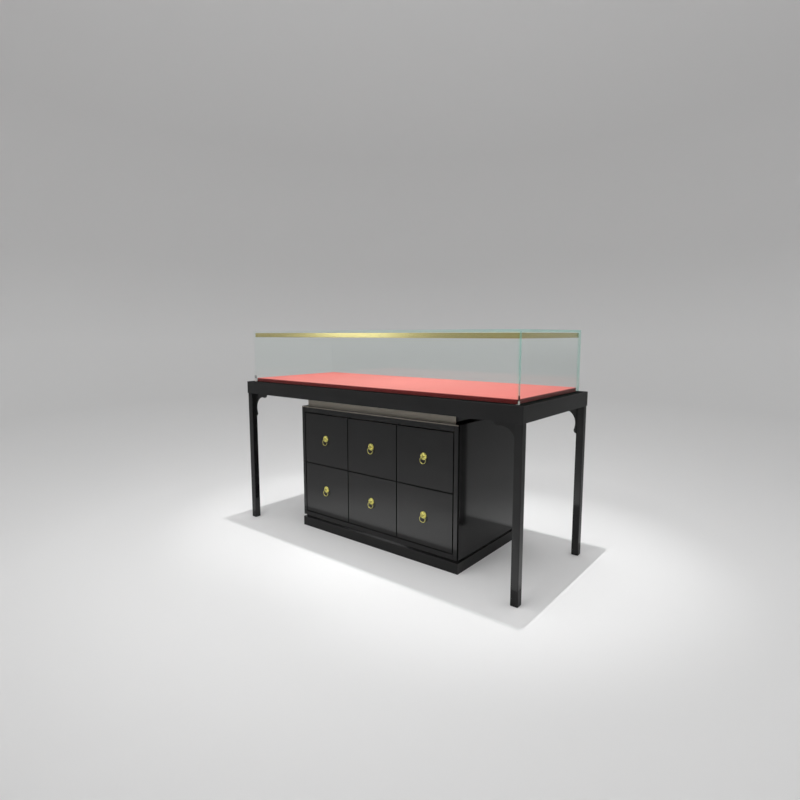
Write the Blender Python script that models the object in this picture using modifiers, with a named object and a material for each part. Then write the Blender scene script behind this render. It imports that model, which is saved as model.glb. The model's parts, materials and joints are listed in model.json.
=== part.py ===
"""A lacquered display table: a glass hood over a covered deck, on four legs and a pedestal of six drawers.

Metres, +Z up. The origin is on the floor under the middle of the table, the front faces -Y and the long
side runs along X.
"""

import math

import bmesh
import bpy
from mathutils import Matrix, Vector

# Clearances
SEAT = 0.0003
DRAWER_GAP = 0.005
DRAWER_SIDE_CLEARANCE = 0.001
DRAWER_REAR_CLEARANCE = 0.020
DRAWER_HEADROOM = 0.044
DECK_CLEARANCE = 0.0015
NECK_REAR_CLEARANCE = 0.009

# Table: rails, legs and corner brackets
TABLE_LENGTH = 1.674
TABLE_DEPTH = 0.660
TABLE_TOP = 0.780
RAIL_HEIGHT = 0.066
RAIL_WIDTH = 0.060
RAIL_ROUNDING = 0.002
PANEL_THICKNESS = 0.018
PANEL_BEARING = 0.015
LEG_SIDE = 0.033
LEG_INSET = 0.002
LEG_ROUNDING = 0.003
TENON_SHOULDER = 0.007
TENON_COVER = 0.024
BRACKET_THICKNESS = 0.008
BRACKET_INSET = 0.003
BRACKET_RADIUS = 0.061
BRACKET_RAIL_WEB = 0.019
BRACKET_LEG_WEB = 0.0065
BRACKET_RAIL_LIP = 0.0025
BRACKET_LEG_LIP = 0.0058
BRACKET_RAIL_SWELL = 0.0105
BRACKET_LEG_SWELL = 0.033
BRACKET_RAIL_END = 0.022
BRACKET_LEG_END = 0.016

# Display: deck, glass hood and the band inside it
HOOD_END_LEDGE = 0.032
HOOD_SIDE_LEDGE = 0.027
HOOD_HEIGHT = 0.280
GLASS_THICKNESS = 0.008
GLASS_ARRIS = 0.0008
BAND_HEIGHT = 0.022
BAND_THICKNESS = 0.004
BAND_DROP = 0.0045
DECK_THICKNESS = 0.0195
DECK_ROUNDING = 0.002

# Pedestal: neck, plinth and carcass
PEDESTAL_LENGTH = 1.000
PEDESTAL_DEPTH = 0.550
PEDESTAL_SETBACK = 0.100
NECK_SHOWN = 0.054
NECK_FRONT_SETBACK = 0.021
NECK_SIDE_SETBACK = 0.031
NECK_BOARD = 0.018
PLINTH_HEIGHT = 0.049
PLINTH_BOARD = 0.030
SHADOW_GAP = 0.013
SHADOW_DEPTH = 0.012
SIDE_THICKNESS = 0.025
TOP_THICKNESS = 0.030
BOTTOM_THICKNESS = 0.022
BACK_THICKNESS = 0.008
DIVIDER_THICKNESS = 0.018
SHELF_THICKNESS = 0.018
CARCASS_ROUNDING = 0.0012
CORNER_LINE = 0.0045

# Drawers
COLUMNS = ("left", "middle", "right")
ROWS = ("bottom", "top")
FRONT_THICKNESS = 0.020
FRONT_ROUNDING = 0.0008
BOX_WALL = 0.012
BOX_FLOOR = 0.008

# Ring pulls: a round animal mask with a ring through its jaw
MASK_RADIUS = 0.0178
MASK_PLATE = 0.0024
MASK_RAISE = 0.009
MANE_LOBES = 12
MANE_SCALLOP = 0.0013
BROW_RADIUS = 0.0114
BROW_RISE = 0.0069
EAR_RADIUS = 0.0038
EAR_SPREAD = 0.0078
EAR_HEIGHT = 0.0087
MUZZLE_HALF_WIDTH = 0.0048
MUZZLE_HALF_HEIGHT = 0.0071
MUZZLE_RISE = 0.0137
RING_RADIUS = 0.0155
RING_WIRE = 0.0015
HINGE_DEPTH = 0.0078
HINGE_DROP = 0.0018

# Facets of the round stretches: steps along a curve, or segments and rings of a ball
ROUND_STEPS = 2
ARC_STEPS = 12
NOSE_STEPS = 6
SWELL_STEPS = 4
LOBE_STEPS = 4
RING_STEPS = 24
WIRE_STEPS = 8
BORE_STEPS = 16
BROW_FACETS = (16, 10)
MUZZLE_FACETS = (12, 10)
EAR_FACETS = (8, 6)

# Working values of the modelling: how far a cutter runs past its piece, and the distance that welds points
CUT_OVERRUN = 0.012
WELD_DISTANCE = 1e-6
EMPTY_MARK = 0.05
SHARP_ANGLE = math.radians(35)

# Heights and faces that several pieces share
RAIL_BOTTOM = TABLE_TOP - RAIL_HEIGHT
PANEL_BOTTOM = TABLE_TOP - PANEL_THICKNESS
HOOD_TOP = TABLE_TOP + HOOD_HEIGHT
LEG_CENTRE_X = TABLE_LENGTH / 2 - LEG_INSET - LEG_SIDE / 2
LEG_CENTRE_Y = TABLE_DEPTH / 2 - LEG_INSET - LEG_SIDE / 2
TENON_SIDE = LEG_SIDE - 2 * TENON_SHOULDER
TENON_LENGTH = RAIL_HEIGHT - TENON_COVER
BRACKET_CENTRE_Y = LEG_CENTRE_Y - LEG_SIDE / 2 + BRACKET_INSET + BRACKET_THICKNESS / 2
HOOD_X = TABLE_LENGTH / 2 - HOOD_END_LEDGE
HOOD_Y = TABLE_DEPTH / 2 - HOOD_SIDE_LEDGE
HOOD_INNER_X = HOOD_X - GLASS_THICKNESS
HOOD_INNER_Y = HOOD_Y - GLASS_THICKNESS
PEDESTAL_TOP = RAIL_BOTTOM - NECK_SHOWN
PEDESTAL_FRONT = PEDESTAL_SETBACK - TABLE_DEPTH / 2
PEDESTAL_BACK = PEDESTAL_FRONT + PEDESTAL_DEPTH
NECK_FRONT = PEDESTAL_FRONT + NECK_FRONT_SETBACK
NECK_BACK = TABLE_DEPTH / 2 - RAIL_WIDTH - NECK_REAR_CLEARANCE
CARCASS_BOTTOM = PLINTH_HEIGHT + SHADOW_GAP
CELL_X = PEDESTAL_LENGTH / 2 - SIDE_THICKNESS
CELL_FLOOR = CARCASS_BOTTOM + BOTTOM_THICKNESS
CELL_CEILING = PEDESTAL_TOP - TOP_THICKNESS
FRONT_WIDTH = (2 * CELL_X - (len(COLUMNS) + 1) * DRAWER_GAP) / len(COLUMNS)
FRONT_HEIGHT = (CELL_CEILING - CELL_FLOOR - (len(ROWS) + 1) * DRAWER_GAP) / len(ROWS)
COLUMN_PITCH = FRONT_WIDTH + DRAWER_GAP
ROW_PITCH = FRONT_HEIGHT + DRAWER_GAP
DIVIDER_X = COLUMN_PITCH / 2
SHELF_MIDDLE = CELL_FLOOR + DRAWER_GAP / 2 + ROW_PITCH
SHELF_BOTTOM = SHELF_MIDDLE - SHELF_THICKNESS / 2
SHELF_TOP = SHELF_MIDDLE + SHELF_THICKNESS / 2
BOX_HEIGHT = SHELF_BOTTOM - CELL_FLOOR - DRAWER_HEADROOM
FRAME_FRONT = PEDESTAL_FRONT + FRONT_THICKNESS + SEAT
FRAME_BACK = PEDESTAL_BACK - BACK_THICKNESS - SEAT
HALVING = (FRAME_FRONT + FRAME_BACK) / 2
RING_SAG = RING_RADIUS - math.sqrt(RING_RADIUS**2 - MUZZLE_HALF_WIDTH**2)
JAW_BORE = RING_WIRE + RING_SAG + SEAT


def clear_scene():
    """Takes every object out of the open scene."""
    for obj in list(bpy.data.objects):
        bpy.data.objects.remove(obj, do_unlink=True)


def new_collection(name):
    """A collection of the scene for the parts or for the cutters."""
    collection = bpy.data.collections.new(name)
    bpy.context.scene.collection.children.link(collection)
    return collection


def new_finish(name, colour, roughness, metallic=0.0, transmission=0.0):
    """A material with the colour, roughness and metallic value of one finish."""
    finish = bpy.data.materials.new(name)
    finish.use_nodes = True
    shader = finish.node_tree.nodes["Principled BSDF"]
    shader.inputs["Base Color"].default_value = (*colour, 1.0)
    shader.inputs["Roughness"].default_value = roughness
    shader.inputs["Metallic"].default_value = metallic
    shader.inputs["Transmission Weight"].default_value = transmission
    return finish


clear_scene()
PARTS = new_collection("display_cabinet")
CUTTERS = new_collection("display_cabinet_cutters")
BLACK_LACQUER = new_finish("black_lacquer", (0.012, 0.012, 0.013), 0.08)
TAUPE_LACQUER = new_finish("taupe_lacquer", (0.145, 0.130, 0.105), 0.45)
RED_CLOTH = new_finish("red_cloth", (0.62, 0.035, 0.030), 0.90)
CLEAR_GLASS = new_finish("clear_glass", (0.90, 0.97, 0.95), 0.02, transmission=1.0)
BRASS = new_finish("brass", (0.66, 0.50, 0.18), 0.28, metallic=1.0)
BIRCH_PLY = new_finish("birch_ply", (0.58, 0.43, 0.26), 0.60)


def new_object(name, shape, finish, location=(0, 0, 0), parent=None):
    """An object made from a bmesh or a mesh, put at a place in the world, under a parent empty if given."""
    if isinstance(shape, bmesh.types.BMesh):
        mesh = bpy.data.meshes.new(name)
        shape.to_mesh(mesh)
        shape.free()
    else:
        mesh = shape
    if finish and not mesh.materials:
        mesh.materials.append(finish)
    obj = bpy.data.objects.new(name, mesh)
    obj.location = Vector(location)
    if parent:
        obj.parent = parent
        obj.location -= parent.location
    PARTS.objects.link(obj)
    return obj


def new_empty(name, location):
    """An empty that carries the pieces of one moving body."""
    empty = bpy.data.objects.new(name, None)
    empty.empty_display_size = EMPTY_MARK
    empty.location = location
    PARTS.objects.link(empty)
    return empty


def make_cutter(obj):
    """Puts an object among the cutters, out of every render."""
    PARTS.objects.unlink(obj)
    CUTTERS.objects.link(obj)
    obj.hide_render = True
    obj.display_type = "WIRE"
    return obj


def boolean(obj, other, operation="DIFFERENCE"):
    """Cuts another object out of this one, or joins it to this one."""
    modifier = obj.modifiers.new(other.name, "BOOLEAN")
    modifier.operation = operation
    modifier.solver = "EXACT"
    modifier.object = other


def baked_mesh(obj):
    """The object's mesh with its modifiers applied. The object itself is removed."""
    bpy.context.view_layer.update()
    graph = bpy.context.evaluated_depsgraph_get()
    mesh = bpy.data.meshes.new_from_object(obj.evaluated_get(graph))
    mesh.name = obj.name
    bpy.data.objects.remove(obj, do_unlink=True)
    weld = bmesh.new()
    weld.from_mesh(mesh)
    bmesh.ops.remove_doubles(weld, verts=weld.verts, dist=WELD_DISTANCE)
    bmesh.ops.recalc_face_normals(weld, faces=weld.faces)
    weld.to_mesh(mesh)
    weld.free()
    return mesh


def smooth(mesh):
    """Shades a mesh smooth, apart from its sharp edges."""
    mesh.shade_smooth()
    mesh.set_sharp_from_angle(angle=SHARP_ANGLE)
    return mesh


def board(name, low, high, finish, rounding=0.0, parent=None):
    """A box between two corners, with its edges rounded where a radius is given."""
    low = Vector(low)
    high = Vector(high)
    box = bmesh.new()
    bmesh.ops.create_cube(box, size=1.0)
    bmesh.ops.scale(box, vec=high - low, verts=box.verts)
    obj = new_object(name, box, finish, (low + high) / 2, parent)
    if rounding:
        bevel = obj.modifiers.new("rounding", "BEVEL")
        bevel.width = rounding
        bevel.segments = ROUND_STEPS
    return obj


def arc(centre, radius_x, radius_y, start, stop, steps=ARC_STEPS):
    """Points along an elliptical arc between two angles in degrees."""
    angles = [math.radians(start + (stop - start) * i / steps) for i in range(steps + 1)]
    return [(centre[0] + radius_x * math.cos(a), centre[1] + radius_y * math.sin(a)) for a in angles]


def outline_mesh(name, outlines, thickness):
    """A flat piece of the given closed outlines: drawn in X and Z, its thickness centred on the XZ plane."""
    curve = bpy.data.curves.new(name, "CURVE")
    curve.dimensions = "2D"
    curve.fill_mode = "BOTH"
    curve.extrude = thickness / 2
    for points in outlines:
        spline = curve.splines.new("POLY")
        spline.points.add(len(points) - 1)
        for point, (x, y) in zip(spline.points, points):
            point.co = (x, y, 0.0, 1.0)
        spline.use_cyclic_u = True
    guide = bpy.data.objects.new(name, curve)
    PARTS.objects.link(guide)
    mesh = baked_mesh(guide)
    mesh.transform(Matrix.Rotation(math.radians(90), 4, "X"))
    return mesh


SIDES = {"front": 0, "right": 90, "back": 180, "left": 270}


def mitred_bar(name, section, half_size, centre, side, finish):
    """One side of a rectangular frame, cut at 45 degrees at both ends.

    section holds the (inward, up) points of the bar's outline, counted from the frame's outer face and
    from centre's height. half_size holds half the frame's length and half its depth.
    """
    along, reach = half_size if side in ("front", "back") else reversed(half_size)
    bar = bmesh.new()
    end = [bar.verts.new((inward + SEAT / 2 - along, inward - reach, up)) for inward, up in section]
    face = bar.faces.new(end)
    grown = bmesh.ops.extrude_face_region(bar, geom=[face])
    for part in grown["geom"]:
        if isinstance(part, bmesh.types.BMVert):
            part.co.x = -part.co.x
    bmesh.ops.recalc_face_normals(bar, faces=bar.faces)
    bmesh.ops.rotate(bar, matrix=Matrix.Rotation(math.radians(SIDES[side]), 3, "Z"), verts=bar.verts)
    return new_object(name, bar, finish, centre)


def rail_section():
    """A rail's outline: rounded outside edges, and a rebate at the top that holds the base panel."""
    rebate_top = RAIL_HEIGHT - PANEL_THICKNESS - SEAT
    rebate_side = RAIL_WIDTH - PANEL_BEARING
    radius = RAIL_ROUNDING
    return [
        *arc((radius, radius), radius, radius, 180, 270, ROUND_STEPS),
        (RAIL_WIDTH, 0.0),
        (RAIL_WIDTH, rebate_top),
        (rebate_side, rebate_top),
        (rebate_side, RAIL_HEIGHT),
        *arc((radius, RAIL_HEIGHT - radius), radius, radius, 90, 180, ROUND_STEPS),
    ]


def build_legs():
    """Four square legs with a tenon on top. Returns a mortise cutter for each."""
    mortises = {}
    top = RAIL_BOTTOM - SEAT
    for front_back, sy in (("front", -1), ("back", 1)):
        for left_right, sx in (("left", -1), ("right", 1)):
            leg = bmesh.new()
            bmesh.ops.create_cube(leg, size=1.0)
            bmesh.ops.scale(leg, vec=(LEG_SIDE, LEG_SIDE, top), verts=leg.verts)
            bmesh.ops.translate(leg, vec=(0, 0, top / 2), verts=leg.verts)
            cap = max(leg.faces, key=lambda face: face.calc_center_median().z)
            bmesh.ops.inset_region(leg, faces=[cap], thickness=TENON_SHOULDER, use_even_offset=True)
            tenon = bmesh.ops.extrude_face_region(leg, geom=[cap])
            risen = [part for part in tenon["geom"] if isinstance(part, bmesh.types.BMVert)]
            bmesh.ops.translate(leg, vec=(0, 0, TENON_LENGTH), verts=risen)
            bmesh.ops.delete(leg, geom=[cap], context="FACES_ONLY")
            corners = [e for e in leg.edges if abs(e.verts[0].co.z - e.verts[1].co.z) > top / 2]
            bmesh.ops.bevel(
                leg, geom=corners, offset=LEG_ROUNDING, segments=ROUND_STEPS, affect="EDGES", profile=0.5
            )
            place = (sx * LEG_CENTRE_X, sy * LEG_CENTRE_Y, 0.0)
            new_object(f"leg_{front_back}_{left_right}", leg, BLACK_LACQUER, place)
            half = TENON_SIDE / 2 + SEAT
            low = (place[0] - half, place[1] - half, RAIL_BOTTOM - CUT_OVERRUN)
            high = (place[0] + half, place[1] + half, RAIL_BOTTOM + TENON_LENGTH + SEAT)
            mortise = board(f"mortise_{front_back}_{left_right}", low, high, None)
            mortises[front_back, left_right] = make_cutter(mortise)
    return mortises


def build_rails(mortises):
    """The table's frame: four rebated rails, mitred at the corners and mortised for the legs."""
    half_size = (TABLE_LENGTH / 2, TABLE_DEPTH / 2)
    centre = (0, 0, RAIL_BOTTOM)
    for side in SIDES:
        rail = mitred_bar(f"rail_{side}", rail_section(), half_size, centre, side, BLACK_LACQUER)
        for corner, mortise in mortises.items():
            if side in corner:
                boolean(rail, mortise)


def bracket_outline():
    """A bracket's outline: U runs from the leg along the rail, V down the leg.

    A hollow quarter circle joins two swelling lips, and each lip ends in a rounded nose.
    """
    centre = (BRACKET_LEG_WEB + BRACKET_RADIUS, BRACKET_RAIL_WEB + BRACKET_RADIUS)
    rail_nose = centre[0] + BRACKET_RAIL_SWELL
    leg_nose = centre[1] + BRACKET_LEG_SWELL
    rail_depth = BRACKET_RAIL_WEB + BRACKET_RAIL_LIP
    leg_depth = BRACKET_LEG_WEB + BRACKET_LEG_LIP
    rail_swell = []
    leg_swell = []
    for i in range(1, SWELL_STEPS):
        along = i / SWELL_STEPS
        rise = along**2
        rail_swell.append((centre[0] + BRACKET_RAIL_SWELL * along, BRACKET_RAIL_WEB + BRACKET_RAIL_LIP * rise))
        leg_swell.append((BRACKET_LEG_WEB + BRACKET_LEG_LIP * rise, centre[1] + BRACKET_LEG_SWELL * along))
    rail_swell.reverse()
    return [
        (0.0, 0.0),
        *arc((rail_nose, 0.0), BRACKET_RAIL_END, rail_depth, 0, 90, NOSE_STEPS),
        *rail_swell,
        *arc(centre, BRACKET_RADIUS, BRACKET_RADIUS, 270, 180),
        *leg_swell,
        *arc((0.0, leg_nose), leg_depth, BRACKET_LEG_END, 0, 90, NOSE_STEPS),
    ]


def build_brackets():
    """Four curved brackets between the legs and the long rails, towards the inner side of the legs."""
    inner_face = LEG_CENTRE_X - LEG_SIDE / 2 - SEAT
    for left_right, sx in (("left", -1), ("right", 1)):
        outline = [(-sx * u, -v) for u, v in bracket_outline()]
        mesh = smooth(outline_mesh(f"bracket_{left_right}", [outline], BRACKET_THICKNESS))
        for front_back, sy in (("front", -1), ("back", 1)):
            place = (sx * inner_face, sy * BRACKET_CENTRE_Y, RAIL_BOTTOM - SEAT)
            new_object(f"bracket_{front_back}_{left_right}", mesh, BLACK_LACQUER, place)


def build_display_top():
    """The base panel in the rails' rebate, and the covered deck board on it."""
    panel_x = TABLE_LENGTH / 2 - RAIL_WIDTH + PANEL_BEARING - SEAT
    panel_y = TABLE_DEPTH / 2 - RAIL_WIDTH + PANEL_BEARING - SEAT
    board("base_panel", (-panel_x, -panel_y, PANEL_BOTTOM), (panel_x, panel_y, TABLE_TOP), BLACK_LACQUER)
    deck_x = HOOD_INNER_X - DECK_CLEARANCE
    deck_y = HOOD_INNER_Y - DECK_CLEARANCE
    deck_low = (-deck_x, -deck_y, TABLE_TOP + SEAT)
    board("deck_board", deck_low, (deck_x, deck_y, TABLE_TOP + DECK_THICKNESS), RED_CLOTH, DECK_ROUNDING)


def build_hood():
    """The glass hood: four walls under a top pane, and the band that runs round inside them."""
    hood = new_empty("hood", (0, 0, TABLE_TOP))
    x = HOOD_X
    y = HOOD_Y
    foot = TABLE_TOP + SEAT
    head = HOOD_TOP - GLASS_THICKNESS
    side_y = HOOD_INNER_Y - SEAT
    panes = {
        "glass_front": ((-x, -y, foot), (x, -HOOD_INNER_Y, head - SEAT)),
        "glass_back": ((-x, HOOD_INNER_Y, foot), (x, y, head - SEAT)),
        "glass_left": ((-x, -side_y, foot), (-HOOD_INNER_X, side_y, head - SEAT)),
        "glass_right": ((HOOD_INNER_X, -side_y, foot), (x, side_y, head - SEAT)),
        "glass_top": ((-x, -y, head), (x, y, HOOD_TOP)),
    }
    for name, (low, high) in panes.items():
        board(name, low, high, CLEAR_GLASS, GLASS_ARRIS, hood)
    outer = (HOOD_INNER_X - SEAT, HOOD_INNER_Y - SEAT)
    inner = tuple(reach - BAND_THICKNESS for reach in outer)
    corners = ((-1, -1), (1, -1), (1, 1), (-1, 1))
    loops = [[(sx * reach[0], sy * reach[1]) for sx, sy in corners] for reach in (outer, inner)]
    band = outline_mesh("band", loops, BAND_HEIGHT)
    band.transform(Matrix.Rotation(math.radians(-90), 4, "X"))
    new_object("band", band, BRASS, (0, 0, head - BAND_DROP - BAND_HEIGHT / 2), hood)


def build_neck():
    """The box between pedestal and table: four mitred boards from the pedestal's top to the base panel.

    Only the front board shows its warm grey. The others are black.
    """
    half_size = (PEDESTAL_LENGTH / 2 - NECK_SIDE_SETBACK, (NECK_BACK - NECK_FRONT) / 2)
    centre = (0, (NECK_FRONT + NECK_BACK) / 2, PEDESTAL_TOP + SEAT)
    height = PANEL_BOTTOM - PEDESTAL_TOP - 2 * SEAT
    section = [(0.0, 0.0), (NECK_BOARD, 0.0), (NECK_BOARD, height), (0.0, height)]
    for side in SIDES:
        finish = TAUPE_LACQUER if side == "front" else BLACK_LACQUER
        mitred_bar(f"neck_{side}", section, half_size, centre, side, finish)


def build_plinth():
    """Four mitred plinth boards, rebated outside at the top for the shadow gap."""
    half_size = (PEDESTAL_LENGTH / 2, PEDESTAL_DEPTH / 2)
    centre = (0, (PEDESTAL_FRONT + PEDESTAL_BACK) / 2, 0)
    section = [
        (0.0, 0.0),
        (PLINTH_BOARD, 0.0),
        (PLINTH_BOARD, CARCASS_BOTTOM),
        (SHADOW_DEPTH, CARCASS_BOTTOM),
        (SHADOW_DEPTH, PLINTH_HEIGHT),
        (0.0, PLINTH_HEIGHT),
    ]
    for side in SIDES:
        mitred_bar(f"plinth_{side}", section, half_size, centre, side, BLACK_LACQUER)


def build_carcass():
    """The pedestal's sides, top, bottom and back, and the crossed dividers and shelf inside it.

    A small rebate runs up the front corner of each side as a shadow line.
    """
    outer_x = PEDESTAL_LENGTH / 2
    inner_x = CELL_X - SEAT
    foot = CARCASS_BOTTOM + SEAT
    front = PEDESTAL_FRONT
    back = PEDESTAL_BACK
    for left_right, sx in (("left", -1), ("right", 1)):
        low_x, high_x = sorted((sx * CELL_X, sx * outer_x))
        low = (low_x, front, foot)
        side = board(f"side_{left_right}", low, (high_x, back, PEDESTAL_TOP), BLACK_LACQUER, CARCASS_ROUNDING)
        low_x, high_x = sorted((sx * (outer_x - CORNER_LINE), sx * (outer_x + CUT_OVERRUN)))
        low = (low_x, front - CUT_OVERRUN, foot - CUT_OVERRUN)
        high = (high_x, front + CORNER_LINE, PEDESTAL_TOP + CUT_OVERRUN)
        boolean(side, make_cutter(board(f"corner_line_{left_right}", low, high, None)))
    low = (-inner_x, front, CELL_CEILING)
    board("carcass_top", low, (inner_x, back, PEDESTAL_TOP), BLACK_LACQUER, CARCASS_ROUNDING)
    low = (-inner_x, front, foot)
    board("carcass_bottom", low, (inner_x, back, CELL_FLOOR), BLACK_LACQUER, CARCASS_ROUNDING)
    cell_low = CELL_FLOOR + SEAT
    cell_high = CELL_CEILING - SEAT
    low = (-inner_x, back - BACK_THICKNESS, cell_low)
    board("back_panel", low, (inner_x, back, cell_high), BLACK_LACQUER)

    low = (-inner_x, FRAME_FRONT, SHELF_BOTTOM)
    shelf = board("shelf", low, (inner_x, FRAME_BACK, SHELF_TOP), BIRCH_PLY)
    low = (-outer_x, FRAME_FRONT - CUT_OVERRUN, SHELF_BOTTOM - SEAT)
    shelf_slot = make_cutter(board("shelf_slot", low, (outer_x, HALVING + SEAT, SHELF_TOP + SEAT), None))
    for left_right, sx in (("left", -1), ("right", 1)):
        low_x = sx * DIVIDER_X - DIVIDER_THICKNESS / 2
        high_x = sx * DIVIDER_X + DIVIDER_THICKNESS / 2
        low = (low_x, FRAME_FRONT, cell_low)
        divider = board(f"divider_{left_right}", low, (high_x, FRAME_BACK, cell_high), BIRCH_PLY)
        boolean(divider, shelf_slot)
        low = (low_x - SEAT, HALVING - SEAT, SHELF_BOTTOM - CUT_OVERRUN)
        high = (high_x + SEAT, FRAME_BACK + CUT_OVERRUN, SHELF_TOP + CUT_OVERRUN)
        boolean(shelf, make_cutter(board(f"divider_slot_{left_right}", low, high, None)))


def mane_outline():
    """The mask plate's scalloped edge."""
    count = MANE_LOBES * LOBE_STEPS
    points = []
    for i in range(count):
        angle = 2 * math.pi * i / count
        radius = MASK_RADIUS - MANE_SCALLOP * (1 - abs(math.cos(angle * MANE_LOBES / 2)))
        points.append((radius * math.cos(angle), radius * math.sin(angle)))
    return points


def ellipsoid(name, centre, radii, facets):
    """A sphere stretched to three radii, to be joined to the mask. facets holds its segments and rings."""
    ball = bmesh.new()
    bmesh.ops.create_uvsphere(ball, u_segments=facets[0], v_segments=facets[1], radius=1.0)
    bmesh.ops.scale(ball, vec=radii, verts=ball.verts)
    return make_cutter(new_object(name, ball, None, centre))


def mask_mesh():
    """The mask on its XZ back plane, facing -Y.

    A scalloped mane plate carries a domed face, two ears, and a muzzle that is bored for the ring.
    """
    mask = new_object("mask", outline_mesh("mane_plate", [mane_outline()], 2 * MASK_PLATE), BRASS)
    brow_radii = (BROW_RADIUS, BROW_RISE, BROW_RADIUS)
    muzzle_radii = (MUZZLE_HALF_WIDTH, MUZZLE_RISE, MUZZLE_HALF_HEIGHT)
    ear_radii = (EAR_RADIUS, EAR_RADIUS, EAR_RADIUS)
    tools = [
        ellipsoid("brow", (0, 0, 0), brow_radii, BROW_FACETS),
        ellipsoid("muzzle", (0, 0, -HINGE_DROP), muzzle_radii, MUZZLE_FACETS),
    ]
    for left_right, sx in (("left", -1), ("right", 1)):
        place = (sx * EAR_SPREAD, -MASK_PLATE, EAR_HEIGHT)
        tools.append(ellipsoid(f"ear_{left_right}", place, ear_radii, EAR_FACETS))
    for tool in tools:
        boolean(mask, tool, "UNION")
    reach = MASK_RADIUS + CUT_OVERRUN
    tools.append(make_cutter(board("mask_back", (-reach, 0.0, -reach), (reach, reach, reach), None)))
    bore = bmesh.new()
    bmesh.ops.create_cone(
        bore, cap_ends=True, segments=BORE_STEPS, radius1=JAW_BORE, radius2=JAW_BORE, depth=2 * reach
    )
    bmesh.ops.rotate(bore, matrix=Matrix.Rotation(math.radians(90), 3, "Y"), verts=bore.verts)
    tools.append(make_cutter(new_object("jaw_bore", bore, None, (0, -HINGE_DEPTH, -HINGE_DROP))))
    for tool in tools[-2:]:
        boolean(mask, tool)
    mesh = baked_mesh(mask)
    for tool in tools:
        bpy.data.objects.remove(tool, do_unlink=True)
    return smooth(mesh)


def ring_mesh():
    """The pull's ring, hanging in the XZ plane from its origin on the hinge axis."""
    bpy.ops.mesh.primitive_torus_add(
        major_segments=RING_STEPS, minor_segments=WIRE_STEPS, major_radius=RING_RADIUS, minor_radius=RING_WIRE
    )
    torus = bpy.context.active_object
    mesh = torus.data
    bpy.data.objects.remove(torus, do_unlink=True)
    mesh.name = "ring"
    mesh.transform(Matrix.Rotation(math.radians(90), 4, "X"))
    mesh.transform(Matrix.Translation((0, 0, -RING_RADIUS)))
    mesh.materials.append(BRASS)
    return smooth(mesh)


def drawer_cell(column):
    """The clear width between the boards on both sides of a column of drawers."""
    low = -CELL_X
    high = CELL_X
    if column > -1:
        low = column * COLUMN_PITCH - DIVIDER_X + DIVIDER_THICKNESS / 2
    if column < 1:
        high = column * COLUMN_PITCH + DIVIDER_X - DIVIDER_THICKNESS / 2
    return low, high


def build_drawer(place, column, row, mask, ring):
    """One drawer: its front, its box, and the mask and ring that pull it."""
    x = column * COLUMN_PITCH
    z = SHELF_MIDDLE + (row - 0.5) * ROW_PITCH
    drawer = new_empty(f"drawer_{place}", (x, PEDESTAL_FRONT, z))
    low = (x - FRONT_WIDTH / 2, PEDESTAL_FRONT, z - FRONT_HEIGHT / 2)
    high = (x + FRONT_WIDTH / 2, PEDESTAL_FRONT + FRONT_THICKNESS, z + FRONT_HEIGHT / 2)
    board(f"drawer_front_{place}", low, high, BLACK_LACQUER, FRONT_ROUNDING, drawer)

    cell_low, cell_high = drawer_cell(column)
    floor = SEAT + (CELL_FLOOR if row == 0 else SHELF_TOP)
    box_back = FRAME_BACK - DRAWER_REAR_CLEARANCE
    low = Vector((cell_low + DRAWER_SIDE_CLEARANCE, FRAME_FRONT, floor))
    high = Vector((cell_high - DRAWER_SIDE_CLEARANCE, box_back, floor + BOX_HEIGHT))
    box = board(f"drawer_box_{place}", low, high, BIRCH_PLY, parent=drawer)
    hollow_low = low + Vector((BOX_WALL, BOX_WALL, BOX_FLOOR))
    hollow_high = high - Vector((BOX_WALL, BOX_WALL, -BOX_FLOOR))
    boolean(box, make_cutter(board(f"drawer_hollow_{place}", hollow_low, hollow_high, None, parent=drawer)))

    mask_place = Vector((x, PEDESTAL_FRONT - SEAT, z + MASK_RAISE))
    new_object(f"mask_{place}", mask, BRASS, mask_place, drawer)
    new_object(f"ring_{place}", ring, BRASS, mask_place - Vector((0, HINGE_DEPTH, HINGE_DROP)), drawer)


def build_drawers():
    """Six drawers in two rows. Their masks share one mesh, and so do their rings."""
    mask = mask_mesh()
    ring = ring_mesh()
    for row, row_name in enumerate(ROWS):
        for i, column_name in enumerate(COLUMNS):
            build_drawer(f"{row_name}_{column_name}", i - 1, row, mask, ring)


def main():
    build_rails(build_legs())
    build_brackets()
    build_display_top()
    build_hood()
    build_neck()
    build_plinth()
    build_carcass()
    build_drawers()


main()
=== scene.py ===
"""The looks of the display cabinet: lacquered boards, glass hood, cloth deck and lion-mask pulls.

Every new piece is a surface worked out with numpy, in metres, in the frame of the solids it stands for.
"""

import json
import math

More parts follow.
